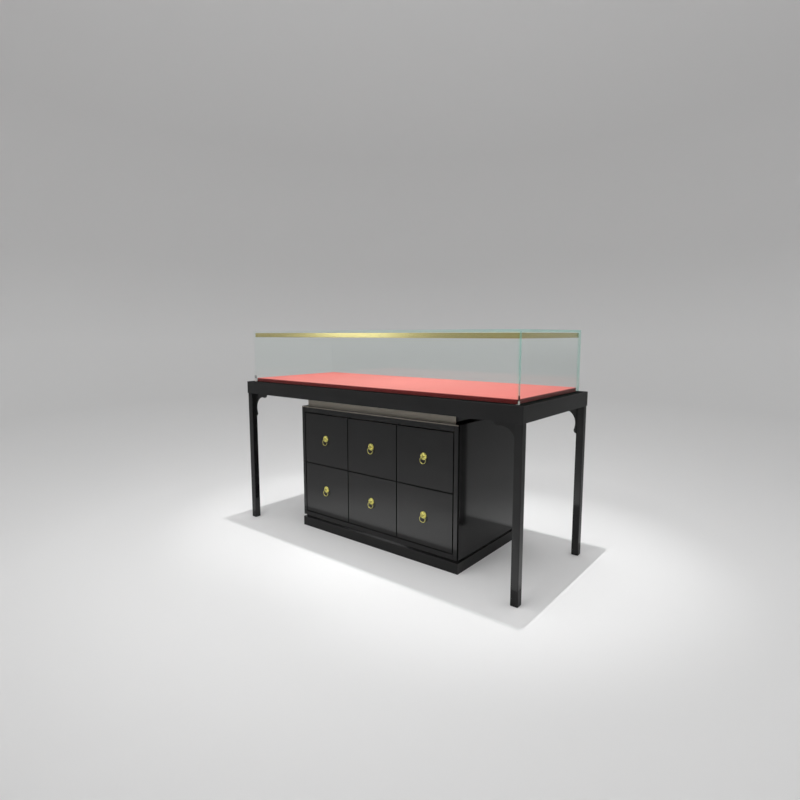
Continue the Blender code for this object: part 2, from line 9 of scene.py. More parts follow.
import bmesh
import bpy
import numpy as np
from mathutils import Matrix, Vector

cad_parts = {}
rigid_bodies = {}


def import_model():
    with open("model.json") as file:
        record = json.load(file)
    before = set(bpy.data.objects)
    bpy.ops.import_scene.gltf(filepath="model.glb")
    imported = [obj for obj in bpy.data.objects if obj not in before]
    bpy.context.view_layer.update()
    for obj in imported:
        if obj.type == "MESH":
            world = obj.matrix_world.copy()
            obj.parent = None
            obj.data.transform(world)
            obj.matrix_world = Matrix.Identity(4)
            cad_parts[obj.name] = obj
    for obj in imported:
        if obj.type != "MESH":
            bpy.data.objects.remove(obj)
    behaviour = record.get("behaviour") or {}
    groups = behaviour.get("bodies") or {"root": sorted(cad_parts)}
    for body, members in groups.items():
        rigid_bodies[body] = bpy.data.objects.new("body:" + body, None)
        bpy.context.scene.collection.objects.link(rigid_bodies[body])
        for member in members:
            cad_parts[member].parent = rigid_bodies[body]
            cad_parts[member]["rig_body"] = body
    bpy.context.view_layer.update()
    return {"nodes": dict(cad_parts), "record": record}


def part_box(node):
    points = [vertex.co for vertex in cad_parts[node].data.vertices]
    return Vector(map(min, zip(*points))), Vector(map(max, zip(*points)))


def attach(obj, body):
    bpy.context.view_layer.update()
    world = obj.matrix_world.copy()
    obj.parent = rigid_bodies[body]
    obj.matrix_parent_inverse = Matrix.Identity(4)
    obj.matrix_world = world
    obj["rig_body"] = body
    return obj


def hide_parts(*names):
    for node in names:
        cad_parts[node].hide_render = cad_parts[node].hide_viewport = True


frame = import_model()
SLOT_OF = {row["node"]: row["material_slot"] for row in frame["record"]["subparts"]}

# Words in the nodes' names: sides with their quarter turns from the front, ends with their sign along X
QUARTER_TURNS = {"front": 0, "right": 1, "back": 2, "left": 3}
END_SIGNS = {"left": -1, "right": 1}
DRAWERS = [f"{row}_{column}" for row in ("bottom", "top") for column in ("left", "middle", "right")]

# Camera, at the photograph's view
CAMERA_PLACE = (1.6945, -2.1128, 1.0414)
CAMERA_TILT = math.radians(90 - 7.025)
CAMERA_TURN = math.radians(38.83)
CAMERA_LENS = 24.02

# Studio sweep: floor, cove and wall
FLOOR_RADIUS = 1.7
COVE_RADIUS = 1.8
WALL_HEIGHT = 3.4
HUB_RADIUS = 0.001
FLOOR_RINGS = 12
COVE_STEPS = 24
SWEEP_STEPS = 96

# Paper: greys by the distance from the floor's middle, mostly darker further out as painted shade, and the
# painted shade that dims it in mirrors
PAPER_SHADE_STOPS = ((0.85, 0.83), (1.75, 0.775), (2.95, 0.615), (3.45, 0.655), (4.10, 0.605), (4.60, 0.56))
DIM_STOPS = ((0.75, 1.0), (0.95, 0.80), (1.25, 0.60), (2.00, 0.55), (2.80, 0.50), (3.50, 0.46))
DIM_HEIGHTS = (0.75, 1.00)
DIM_BACK = 0.80
BACK_START = -0.1
BACK_SPAN = 0.4
DIM_SHADE = 0.58
SHADE_REACH = (0.90, 0.45)

# Light: a sky, two small lamps overhead, a fill in front and a panel that shows in the metal
SKY_ZENITH = 2.05
SKY_HORIZON = 0.90
LAMPS = ((-0.565, -0.007, 2.945), (0.615, -0.007, 2.945))
LAMP_RADIUS = 0.004
LAMP_CONE = math.radians(45)
LAMP_TILT = math.radians(2.2)
LAMP_TOE_IN = math.radians(2.3)
LAMP_POWER = 150.0
FILL_PLACE = (0.1, -1.9, 1.9)
FILL_TILT = math.radians(40)
FILL_SIZE = (1.5, 0.6)
FILL_SPREAD = math.radians(80)
FILL_POWER = 2.4
PANEL_PLACE = (-1.85, -2.25, 1.30)
PANEL_TURN = math.radians(-39.5)
PANEL_SIZE = (0.7, 0.45)
PANEL_POWER = 3.8

# Meshes: points closer than the merge distance are one, and edges over the sharp angle stay sharp
MERGE_DISTANCE = 1e-6
SHARP_ANGLE = math.radians(35)
CARVED_ANGLE = math.radians(60)
EASED_ANGLE = math.radians(60)

# Boards: the play between neighbours, and the rounding of each kind's edges
SEAT = 0.0003
ARRIS_STEPS = 5
BEVEL_STEPS = 3
LEG_ARRIS = 0.003
RAIL_ARRIS = 0.0008
CARCASS_ARRIS = 0.0012
CORNER_LINE = 0.0045
CORNER_ARRIS = 0.0005
FRONT_ARRIS = 0.0008
BRACKET_ARRIS = 0.0009
DECK_ARRIS = 0.0028
DECK_STEPS = 6

# Paint: how far a face's normal turns to a side to be painted, and the grey line painted as a highlight on
# the pedestal's top edge
TURNED = 0.6
LEVEL = 0.9
JOINT_MARGIN = 0.0004
PAINTED_EDGE = 0.002
HIGHLIGHT_LINE_HEIGHT = 0.0042
HIGHLIGHT_LINE_COLOUR = (0.30, 0.27, 0.225)

# Plinth and brackets
PLINTH_HEIGHT = 0.049
SHADOW_DEPTH = 0.012
BRACKET_RADIUS = 0.061
BRACKET_RAIL_WEB = 0.019
BRACKET_LEG_WEB = 0.0065
BRACKET_RAIL_LIP = 0.0025
BRACKET_LEG_LIP = 0.0058
BRACKET_RAIL_SWELL = 0.0105
BRACKET_LEG_SWELL = 0.033
BRACKET_RAIL_END = 0.022
BRACKET_LEG_END = 0.016
BRACKET_STEPS = 32
LIP_STEPS = 8
LIP_END_STEPS = 12

# Drawer boxes of plywood
BOX_WALL = 0.012
BOX_FLOOR = 0.008
BOX_GROOVE = 0.004
BOX_SETBACK = 0.0004
BOX_ARRIS = 0.0008
BOX_STEPS = 2
VENEER = 0.0015
GRAIN_ALONG_X = (0.08, 1.0, 1.0)
GRAIN_ALONG_Y = (1.0, 0.08, 1.0)

# Hood: panes, green edges painted brighter to the right, a painted glint and a painted dark reflection at
# the foot of each front corner, and the band
GLASS_ARRIS = 0.0008
GLASS_STEPS = 2
PANE_FACE = 0.95
PANE_SHINE = 0.005
BACK_SHINE = 0.04
LOW_ANGLE_SHINE = 0.6
END_TINT = 0.0125
# Where along X the painted glow of the green edges starts and ends, and its curve
GLOW_FROM = -0.9
GLOW_TO = 0.8
GLOW_CURVE = 1.5
GLINT_HEIGHT = 0.012
DARK_REFLECTION_HEIGHTS = (0.015, 0.033)
BAND_THICKNESS = 0.004
BAND_ARRIS = 0.0006
BAND_STEPS = 3
BAND_GRAIN = (0.02, 0.02, 1.0)
# The band's brass is painted darker than the pulls': a shaded copy of the same brass
SHADED_BAND_TONES = ((0.68, 0.575, 0.23), (0.72, 0.635, 0.33))

# Deck: how far from its middle the nap turns from the painted pool of light to the deeper red
POOL_ENDS = (0.3, 0.8)

# Pulls, drawn in millimetres, each of which is made DRAWN_MM metres long
DRAWN_MM = 0.000913
MASK_RADIUS = 19.5
MASK_PLATE = 2.6
MASK_RINGS = 96
MASK_STEPS = 240
JAW_BORE = 2.75
BORE_REACH = 7.0
BORE_STEPS = 32
HINGE_DEPTH = 8.54
HINGE_DROP = 1.97
RING_RADIUS = 17.0
RING_WIRE = 1.5
RING_SWELL = 0.10
RING_PATINA = 0.06
RING_STEPS = 144
WIRE_STEPS = 24
CAST_GRAIN = (1.0, 1.0, 1.0)
# The pulls' brass is painted lighter than the band's: a lit copy of the same brass
LIT_CAST_TONES = ((1.0, 0.89, 0.22), (1.0, 0.97, 0.37))

# The lion's large shapes, as (centre, radii, height), and how softly the highest one counts
LION_FACE = ((0.0, 0.0), (12.5, 12.5), 7.5)
LION_MUZZLE = ((0.0, -2.0), (5.2, 7.8), 15.0)
LION_EAR = ((8.5, 9.5), (4.2, 4.2), 4.2)
LION_BLEND = 0.35

# The lion's carving, as (centre, widths, height, tilt), the pairs on both sides
LION_PAIRS = {
    "brow": ((4.7, 4.5), (2.6, 0.9), 1.3, 0.35),
    "eye_hollow": ((4.3, 2.3), (1.9, 1.3), -1.3, -0.2),
    "eye": ((4.2, 2.3), (0.9, 0.75), 1.1, 0.0),
    "jowl": ((5.6, -7.2), (2.0, 2.4), 0.5, 0.3),
    "muzzle_pad": ((2.0, -2.3), (1.5, 1.5), 0.7, 0.0),
    "nostril": ((0.85, 0.75), (0.5, 0.42), -0.7, 0.0),
}
LION_MIDDLE = {
    "nose": ((0.0, 1.3), (1.7, 1.1), 0.9),
    "nose_bridge": ((0.0, 4.6), (1.3, 2.8), 1.7),
    "forehead_furrow": ((0.0, 8.0), (0.45, 1.8), -0.5),
    "lip_groove": ((0.0, -2.0), (0.38, 1.9), -0.8),
    "chin": ((0.0, -6.4), (1.9, 1.2), 0.5),
}
EAR_HOLLOW = ((8.8, 9.9), (1.7, 1.7), -1.3)
EAR_CLEARING = ((8.5, 9.5), (4.0, 4.0), 1.0)
MOUTH_DROP = 4.3
MOUTH_CURVE = 0.10
MOUTH_WIDTH = 0.42
MOUTH_REACH = 3.4
MOUTH_DEPTH = 0.9

# The lion's mane: rings of locks and strands, as (radius, width, height)
LOCK_COUNT = 12
LOCK_CURVE = 1.4
LOCK_SWIRL = 0.016
SWIRL_RADIUS = 12.0
MANE_SCALLOP = 2.6
OUTER_LOCKS = (16.2, 2.6, 2.1)
INNER_LOCKS = (12.3, 1.9, 1.9)
STRANDS = (14.8, 3.2, 0.16)
STRAND_COUNT = 60
RIM_START = 0.90

# Patina: its share on even metal, by a millimetre of carving, and on metal hidden this deep under the face
PATINA_EVEN = 0.30
PATINA_CARVED = 0.85
PATINA_HIDDEN = 0.9
HIDDEN_DEPTH = 0.15

BLACK = (0.0, 0.0, 0.0)
WHITE = (1.0, 1.0, 1.0)


def grey(value):
    """A grey as a colour."""
    return (value, value, value)


def corners_of(node):
    """Lowest and highest corner of a CAD node as arrays."""
    low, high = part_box(node)
    return np.array(low), np.array(high)


class Socket:
    """A node's output in a Python expression: each operator adds a Math node, so it is for values alone."""

    def __init__(self, finish, output):
        self.finish = finish
        self.output = output

    def __add__(self, other):
        return self.finish.math("ADD", self, other)

    def __radd__(self, other):
        return self.finish.math("ADD", other, self)

    def __sub__(self, other):
        return self.finish.math("SUBTRACT", self, other)

    def __rsub__(self, other):
        return self.finish.math("SUBTRACT", other, self)

    def __mul__(self, other):
        return self.finish.math("MULTIPLY", self, other)

    def __rmul__(self, other):
        return self.finish.math("MULTIPLY", other, self)

    def __truediv__(self, other):
        return self.finish.math("DIVIDE", self, other)

    def __rtruediv__(self, other):
        return self.finish.math("DIVIDE", other, self)

    def __pow__(self, other):
        return self.finish.math("POWER", self, other)

    def __rpow__(self, other):
        return self.finish.math("POWER", other, self)

    def __lt__(self, other):
        return self.finish.math("LESS_THAN", self, other)

    def __gt__(self, other):
        return self.finish.math("GREATER_THAN", self, other)

    def __abs__(self):
        return self.finish.math("ABSOLUTE", self)


class Finish:
    """A material, or the world around the cabinet, that is made node by node."""

    def __init__(self, name, world=False):
        self.owner = (bpy.data.worlds if world else bpy.data.materials).new(name)
        self.owner.use_nodes = True
        self.tree = self.owner.node_tree
        self.tree.nodes.clear()
        self.end = "ShaderNodeOutputWorld" if world else "ShaderNodeOutputMaterial"

    def node(self, kind, settings=None, sockets=None, output=0):
        """Adds a node of a kind: its settings first, then the values or links of its input sockets."""
        made = self.tree.nodes.new("ShaderNode" + kind)
        for setting, value in (settings or {}).items():
            if setting == "stops":
                self.set_stops(made.color_ramp, value)
            else:
                setattr(made, setting, value)
        for key, value in (sockets or {}).items():
            if isinstance(value, Socket):
                self.tree.links.new(value.output, made.inputs[key])
            else:
                made.inputs[key].default_value = value
        return Socket(self, made.outputs[output])

    @staticmethod
    def set_stops(ramp, stops):
        """Gives a colour ramp its (position, colour) stops."""
        while len(ramp.elements) < len(stops):
            ramp.elements.new(1.0)
        for element, (position, colour) in zip(ramp.elements, stops):
            element.position = position
            element.color = (*colour, 1.0)

    def math(self, operation, *terms):
        """A Math node of one or two values."""
        return self.node("Math", {"operation": operation}, dict(enumerate(terms)))

    def place(self, stretch=(1.0, 1.0, 1.0)):
        """The point's own place in metres, scaled along X, Y and Z."""
        place = self.node("TexCoord", output="Object")
        return self.node("Mapping", None, {"Vector": place, "Scale": stretch})

    def along(self, axis):
        """The point's own place along X, Y or Z in metres."""
        return self.node("SeparateXYZ", None, {0: self.place()}, output=axis)

    def carried(self, attribute):
        """The value that the piece's points carry as an attribute."""
        return self.node("Attribute", {"attribute_name": attribute}, output="Fac")

    def noise(self, scale, detail=2.0, roughness=0.5, stretch=(1.0, 1.0, 1.0)):
        """Cloudy noise from 0 to 1, scale clouds to the metre."""
        sockets = {"Vector": self.place(stretch), "Scale": scale, "Detail": detail, "Roughness": roughness}
        return self.node("TexNoise", None, sockets)

    def ramp(self, value, stops):
        """A value spread over a ramp of coloured stops."""
        return self.node("ValToRGB", {"stops": stops}, {"Fac": value})

    def along_stops(self, way, stops):
        """A grey that changes along a way in metres, by (way, grey) stops."""
        reach = stops[-1][0]
        return self.ramp(way / reach, [(stop / reach, grey(tone)) for stop, tone in stops])

    def blend(self, share, one, other):
        """A colour between two, by a share from 0 to 1."""
        ends = [(*end, 1.0) if isinstance(end, tuple) else end for end in (one, other)]
        return self.node("Mix", {"data_type": "RGBA"}, {0: share, 6: ends[0], 7: ends[1]}, output=2)

    def times(self, one, other, share=1.0):
        """One colour times another, by a share from 0 to 1."""
        settings = {"data_type": "RGBA", "blend_type": "MULTIPLY"}
        return self.node("Mix", settings, {0: share, 6: one, 7: other}, output=2)

    def bump(self, height, distance):
        """A normal from a height in units of distance metres."""
        return self.node("Bump", None, {"Height": height, "Distance": distance})

    def tint(self, colour):
        """A shader that lets light through in a colour."""
        return self.node("BsdfTransparent", None, {"Color": (*colour, 1.0)})

    def shade_between(self, share, one, other):
        """A shader between two, by a share from 0 to 1."""
        return self.node("MixShader", None, {0: share, 1: one, 2: other})

    def surface(self, shader):
        """Joins the shader to the end of the nodes, and gives the material or the world."""
        end = self.tree.nodes.new(self.end)
        self.tree.links.new(shader.output, end.inputs["Surface"])
        return self.owner

    def solid(self, sockets):
        """The material of an opaque body, from the sockets of its Principled shader."""
        return self.surface(self.node("BsdfPrincipled", None, sockets))


def black_lacquer(name="black_lacquer_gloss", highlight_lined=False):
    """Polished black lacquer: faint orange peel, hazy polishing patches and hair-fine wipe marks.

    The board with the highlight line has a warm grey line painted along the pedestal's top front edge: a
    painted highlight on its arris.
    """
    finish = Finish(name)
    haze = finish.noise(7.0, detail=5.0, roughness=0.6)
    wipes = finish.noise(240.0, stretch=(1.0, 1.0, 0.04))
    peel = finish.noise(210.0, detail=1.0)
    colour = finish.blend(haze, (0.0080, 0.0080, 0.0084), (0.0150, 0.0148, 0.0145))
    # A painted highlight: a warm grey line along the pedestal's top front edge
    if highlight_lined:
        low, high = corners_of("carcass_top")
        line = (finish.along("Z") > high[2] - HIGHLIGHT_LINE_HEIGHT) * (finish.along("Y") < low[1] + PAINTED_EDGE)
        colour = finish.blend(line, colour, HIGHLIGHT_LINE_COLOUR)
    return finish.solid({
        "Base Color": colour,
        "Roughness": 0.045 + haze * 0.035 + wipes * 0.03,
        "IOR": 1.60,
        "Normal": finish.bump(peel, distance=0.00002),
    })


def black_paint():
    """Matt black paint in the joints between boards, with faint brush marks."""
    finish = Finish("black_paint_matt")
    marks = finish.noise(320.0, detail=3.0, roughness=0.6, stretch=(1.0, 1.0, 0.1))
    return finish.solid({
        "Base Color": finish.blend(marks, (0.0035, 0.0035, 0.0035), (0.0060, 0.0060, 0.0058)),
        "Roughness": 0.85 + marks * 0.1,
        "Specular IOR Level": 0.05,
        "Normal": finish.bump(marks, distance=0.00005),
    })


def taupe_lacquer():
    """Warm grey satin lacquer with a sprayed, slightly cloudy film."""
    finish = Finish("taupe_lacquer_satin")
    cloud = finish.noise(11.0, detail=4.0, roughness=0.55)
    spray = finish.noise(900.0)
    return finish.solid({
        "Base Color": finish.blend(cloud, (0.352, 0.315, 0.258), (0.432, 0.390, 0.325)),
        "Roughness": 0.30 + spray * 0.12,
        "Normal": finish.bump(spray, distance=0.00005),
    })


def red_cloth():
    """Short red nap: fibre grain, brushed patches that lean light or dark, and a pale sheen at low angles.

    The nap is painted lighter in the middle, a painted pool of light, and a little deeper red towards the
    deck's ends.
    Where the cloth turns down over the board's edge, a carried attribute is high and painted shade darkens
    the nap.
    """
    finish = Finish("red_cloth_nap")
    patches = finish.noise(5.0, detail=3.0, roughness=0.6, stretch=(1.0, 1.8, 1.0))
    fibres = finish.noise(1500.0, detail=3.0, roughness=0.7)
    lean = patches * 0.6 + fibres * 0.4
    # Painted pool of light: the nap is lighter in the middle than towards the ends
    middle = finish.blend(lean, (0.530, 0.119, 0.103), (0.655, 0.181, 0.158))
    ends = finish.blend(lean, (0.530, 0.088, 0.076), (0.655, 0.134, 0.117))
    out_of_pool = finish.ramp(abs(finish.along("X")), list(zip(POOL_ENDS, (BLACK, WHITE))))
    nap = finish.blend(out_of_pool, middle, ends)
    return finish.solid({
        # Painted shade on the deck's sides, where the cloth turns down
        "Base Color": finish.blend(finish.carried("fold"), nap, (0.170, 0.006, 0.006)),
        "Roughness": 0.75 + fibres * 0.2,
        "Sheen Weight": 0.40,
        "Sheen Roughness": 0.45,
        "Sheen Tint": (1.0, 0.62, 0.56, 1.0),
        "Normal": finish.bump(fibres, distance=0.0003),
    })


def painted_glow_share(finish):
    """How far a cut edge shows its green, a painted glow: none at the cabinet's left end, all of it at the
    right end.
    """
    sockets = {"Value": finish.along("X"), "From Min": GLOW_FROM, "From Max": GLOW_TO}
    return finish.node("MapRange", None, sockets) ** GLOW_CURVE


def clear_glass(name="clear_glass_pane", shine=PANE_SHINE, tinted_end=None):
    """Clear pane: it lets through a faint green tint, and mirrors more at low angles by Schlick's curve.

    Beyond tinted_end along the cabinet, the green is that of the cut edge behind, with its glow painted
    stronger towards the right end.
    """
    finish = Finish(name)
    facing = finish.node("LayerWeight", None, {"Blend": 0.5}, output="Facing")
    mirror = finish.node("BsdfGlossy", None, {"Color": (0.93, 0.98, 0.97, 1.0), "Roughness": 0.01})
    through = finish.tint((0.985, 0.997, 0.993))
    if tinted_end is not None:
        green = finish.tint((0.93, 0.99, 0.97))
        at_end = abs(finish.along("X")) > tinted_end
        through = finish.shade_between(at_end * painted_glow_share(finish), through, green)
    share = shine + facing**5.0 * LOW_ANGLE_SHINE
    return finish.surface(finish.shade_between(share, through, mirror))


def glass_edge():
    """Cut and polished pane edge: see-through at the cabinet's left end, and a milky green glow painted in
    towards its right end.

    At the hood's front corners, the edge has a painted glint at its foot on the rails and a painted dark
    reflection above it.
    """
    finish = Finish("glass_edge_green")
    low, high = corners_of("glass_front")
    height = finish.along("Z")
    corner = (abs(finish.along("X")) > high[0] - END_TINT) * (finish.along("Y") < low[1] + END_TINT)
    # Painted glint at the foot of each front corner, and a painted dark reflection of the deck's side above
    # it
    painted_glint = corner * (height < low[2] + GLINT_HEIGHT)
    painted_dark_reflection = corner * (height > low[2] + DARK_REFLECTION_HEIGHTS[0]) * (height < low[2] + DARK_REFLECTION_HEIGHTS[1])
    ripple = finish.noise(60.0, stretch=(0.2, 0.2, 1.0))
    milk = finish.blend(ripple, (0.42, 0.70, 0.65), (0.52, 0.80, 0.75))
    colour = finish.blend(painted_dark_reflection, finish.blend(painted_glint, milk, (0.80, 0.75, 0.72)), (0.03, 0.006, 0.006))
    body = finish.node("BsdfPrincipled", None, {"Base Color": colour, "Roughness": 0.12})
    pale = finish.tint((0.995, 0.999, 0.998))
    green = finish.tint((0.86, 0.965, 0.94))
    # Painted glow: the green edge body shows more towards the right end
    right = painted_glow_share(finish)
    through = finish.shade_between(right, pale, green)
    clear_of_rail = height > low[2] + GLASS_ARRIS * 2
    share = (ripple * 0.02 + right * 0.28) * clear_of_rail + painted_glint * 0.6 + painted_dark_reflection * 0.5
    return finish.surface(finish.shade_between(share, through, body))


def brass(name, grain, tones):
    """Warm brass: fine marks stretched by grain, cloudy tarnish, and dark patina where recess is high."""
    finish = Finish(name)
    marks = finish.noise(900.0, detail=3.0, roughness=0.6, stretch=grain)
    tarnish = finish.noise(45.0, detail=4.0, roughness=0.6)
    recess = finish.carried("recess")
    clean = finish.blend(tarnish, *tones)
    return finish.solid({
        "Base Color": finish.blend(recess, clean, (0.17, 0.12, 0.03)),
        "Metallic": 1.0,
        "Roughness": 0.20 + marks * 0.10 + recess * 0.25,
        "Normal": finish.bump(marks, distance=0.00004),
    })


def birch_ply(name, layers, grain, painted=None):
    """Birch plywood: long grain with darker streaks on the faces, and its thin layers along the edges.

    layers gives the place through the thickness in veneers, and grain how the figure is stretched. Up to the
    depth that painted gives, the front edge is painted black.
    """
    finish = Finish(name)
    figure = finish.noise(26.0, detail=4.0, roughness=0.6, stretch=grain)
    pores = finish.noise(420.0, roughness=0.6, stretch=grain)
    every_other = finish.math("FRACT", layers(finish) / 2.0) > 0.5
    face = finish.blend(figure, (0.50, 0.345, 0.195), (0.70, 0.545, 0.350))
    wood = finish.blend(pores * 0.35, face, (0.30, 0.19, 0.10))
    colour = finish.blend(every_other * 0.4, wood, (0.27, 0.165, 0.085))
    if painted is not None:
        colour = finish.blend(finish.along("Y") < painted, colour, (0.005, 0.005, 0.005))
    return finish.solid({
        "Base Color": colour,
        "Roughness": 0.42 + pores * 0.2,
        "Normal": finish.bump(pores, distance=0.0001),
    })


def carried_layers(finish):
    """The place through a board's thickness that its points carry, counted in veneers."""
    return finish.carried("across")


def measured_layers(axis, start):
    """The place through a board's thickness, along X, Y or Z from a start, counted in veneers."""
    def layers(finish):
        return (finish.along(axis) - start) / VENEER + 0.5
    return layers


def seamless_paper():
    """Pale studio paper, whose grey is painted mostly darker with the distance from the floor's middle:
    painted shade.

    In mirrors, up to the hood's height, painted shade dims it with that distance, to the back and under the
    cabinet.
    """
    finish = Finish("seamless_paper")
    far = finish.node("VectorMath", {"operation": "LENGTH"}, {0: finish.place()}, output="Value")
    fibre = finish.noise(300.0)
    # Painted shade: the paper's grey falls with the distance, with a small rise at the foot of the wall
    tone = finish.along_stops(far + fibre * 0.01, PAPER_SHADE_STOPS)
    by_distance = finish.along_stops(far, DIM_STOPS)
    back = finish.ramp(finish.along("Y") - BACK_START, [(0.0, WHITE), (BACK_SPAN, grey(DIM_BACK))])
    shaded = (abs(finish.along("X")) < SHADE_REACH[0]) * (abs(finish.along("Y")) < SHADE_REACH[1])
    shade = finish.blend(shaded, WHITE, grey(DIM_SHADE))
    above = finish.ramp(finish.along("Z"), list(zip(DIM_HEIGHTS, (BLACK, WHITE))))
    dim = finish.blend(above, finish.times(finish.times(by_distance, back), shade), WHITE)
    mirrored = finish.node("LightPath", output="Is Glossy Ray")
    colour = finish.times(tone, dim, mirrored)
    return finish.surface(finish.node("BsdfDiffuse", None, {"Color": colour, "Roughness": 0.5}))


GLASS_EDGE = glass_edge()
MATT_PAINT = black_paint()
# Lacquer for the pedestal's top and sides, with the painted highlight line on its top front edge
HIGHLIGHT_LACQUER = black_lacquer("black_lacquer_highlight_line", highlight_lined=True)
FINISHES = {
    "black_lacquer": black_lacquer(),
    "taupe_lacquer": taupe_lacquer(),
    "red_cloth": red_cloth(),
    "clear_glass": clear_glass(),
    "brass": brass("brass_cast_lit", CAST_GRAIN, LIT_CAST_TONES),
}


def mesh_of(name, points, faces, **attributes):
    """A closed mesh from points and faces: points that coincide are merged, and the faces point outwards.

    An attribute gives one value for each point.
    """
    mesh = bpy.data.meshes.new(name)
    mesh.from_pydata(np.reshape(points, (-1, 3)).tolist(), [], [list(face) for face in faces])
    for attribute, values in attributes.items():
        mesh.attributes.new(attribute, "FLOAT", "POINT").data.foreach_set("value", np.ravel(values))
    shape = bmesh.new()
    shape.from_mesh(mesh)
    bmesh.ops.remove_doubles(shape, verts=shape.verts, dist=MERGE_DISTANCE)
    bmesh.ops.dissolve_degenerate(shape, edges=shape.edges, dist=MERGE_DISTANCE)
    bmesh.ops.recalc_face_normals(shape, faces=shape.faces)
    shape.to_mesh(mesh)
    shape.free()
    mesh.shade_smooth()
    mesh.set_sharp_from_angle(angle=SHARP_ANGLE)
    return mesh


def read_all(items, key, width, kind=np.float64):
    """One value of each of a mesh's items, such as its vertices' places, as the rows of an array."""
    values = np.empty(len(items) * width, kind)
    items.foreach_get(key, values)
    return values.reshape(-1, width)


def new_piece(name, mesh, material):
    """An object at the origin for a mesh that is already in its place."""
    mesh.materials.append(material)
    piece = bpy.data.objects.new(name, mesh)
    bpy.context.scene.collection.objects.link(piece)
    return piece


def stand_for(piece, node):
    """The piece takes the place of a CAD node, with its body."""
    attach(piece, frame["nodes"][node]["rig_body"])
    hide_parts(node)
    return piece


def finished(node, points, faces, material=None, **attributes):
    """A piece in the node's own finish, or in another, that stands for the node."""
    name = f"{node}_finished"
    mesh = mesh_of(name, points, faces, **attributes)
    return stand_for(new_piece(name, mesh, material or FINISHES[SLOT_OF[node]]), node)


def even_normals(piece):
    """Lets the large faces set the shading, so that boards stay flat between their rounded edges."""
    modifier = piece.modifiers.new("even_normals", "WEIGHTED_NORMAL")
    modifier.keep_sharp = True
    return piece


def paint_faces(piece, material, chosen):
    """Gives the faces that are chosen, by their normals and centres, another material."""
    faces = piece.data.polygons
    painted = chosen(read_all(faces, "normal", 3), read_all(faces, "center", 3))
    piece.data.materials.append(material)
    faces.foreach_set("material_index", painted.astype(np.int32))


def grid_faces(rows, columns):
    """The quads of a grid of points, row by row, that joins its last column to its first."""
    row, column = np.meshgrid(np.arange(rows - 1), np.arange(columns), indexing="ij")
    right = (column + 1) % columns
    here, beyond = row * columns, (row + 1) * columns
    return np.stack([here + column, here + right, beyond + right, beyond + column], -1).reshape(-1, 4)


def rounded_board(low, high, radius, steps=ARRIS_STEPS):
    """A board with rounded edges: the centre of each corner's ball, plus the radius times a direction.

    The directions run over a sphere by longitude and latitude, a quarter turn for each corner.
    """
    low, high = np.array(low), np.array(high)
    core = (high - low) / 2 - radius
    quarter = np.linspace(0, math.pi / 2, steps + 1)
    longitude = (np.arange(4)[:, None] * math.pi / 2 + quarter).ravel()
    latitude = np.concatenate([quarter - math.pi / 2, quarter])
    across = np.repeat([[1, 1], [-1, 1], [-1, -1], [1, -1]], steps + 1, axis=0)
    up = np.repeat([-1, 1], steps + 1)
    lat, lon = np.meshgrid(latitude, longitude, indexing="ij")
    direction = np.stack([np.cos(lat) * np.cos(lon), np.cos(lat) * np.sin(lon), np.sin(lat)], -1)
    sign = np.empty_like(direction)
    sign[..., :2] = across
    sign[..., 2] = up[:, None]
    points = (low + high) / 2 + sign * core + radius * direction
    rows, columns = lat.shape
    starts = np.arange(4) * (steps + 1)
    caps = [starts[::-1], (rows - 1) * columns + starts]
    return points.reshape(-1, 3), [*grid_faces(rows, columns), *caps]


def swept_bar(near_end, far_end):
    """A bar whose two end outlines are given point by point: a quad between each two pairs, and two caps."""
    count = len(near_end)
    points = np.concatenate([near_end, far_end])
    near = np.arange(count)
    sides = np.stack([near, (near + 1) % count, (near + 1) % count + count, near + count], -1)
    return points, [*sides, near[::-1], near + count]


def arc(centre, radii, start, stop, steps):
    """Points on an arc: the centre plus one or two radii times cosine and sine of the angle in degrees."""
    angle = np.radians(np.linspace(start, stop, steps + 1))
    return np.array(centre) + np.array(radii) * np.stack([np.cos(angle), np.sin(angle)], -1)


def full_turn(steps):
    """The angles of a full turn in even steps, without the last, which is the first again."""
    return np.linspace(0, 2 * math.pi, steps + 1)[:-1]


def mitred_side(section, half_size, centre, side):
    """One side of a rectangular frame: the (inward, up) section runs along it and is cut at 45 degrees.

    At each end a point that lies further inward ends as much earlier along the side.
    """
    turns = QUARTER_TURNS[side]
    along, reach = half_size if turns % 2 == 0 else half_size[::-1]
    inward, up = section.T
    near = np.stack([inward + SEAT / 2 - along, inward - reach, up], -1)
    far = near * (-1, 1, 1)
    cosine, sine = ((1, 0), (0, 1), (-1, 0), (0, -1))[turns]
    turn = np.array([[cosine, sine, 0], [-sine, cosine, 0], [0, 0, 1]])
    return swept_bar(near @ turn + centre, far @ turn + centre)


def frame_of(prefix):
    """Half size and base centre of the rectangular frame that four mitred nodes make."""
    low = np.min([corners_of(f"{prefix}_{side}")[0] for side in QUARTER_TURNS], axis=0)
    high = np.max([corners_of(f"{prefix}_{side}")[1] for side in QUARTER_TURNS], axis=0)
    return (high[:2] - low[:2]) / 2, np.array([*(low[:2] + high[:2]) / 2, low[2]])


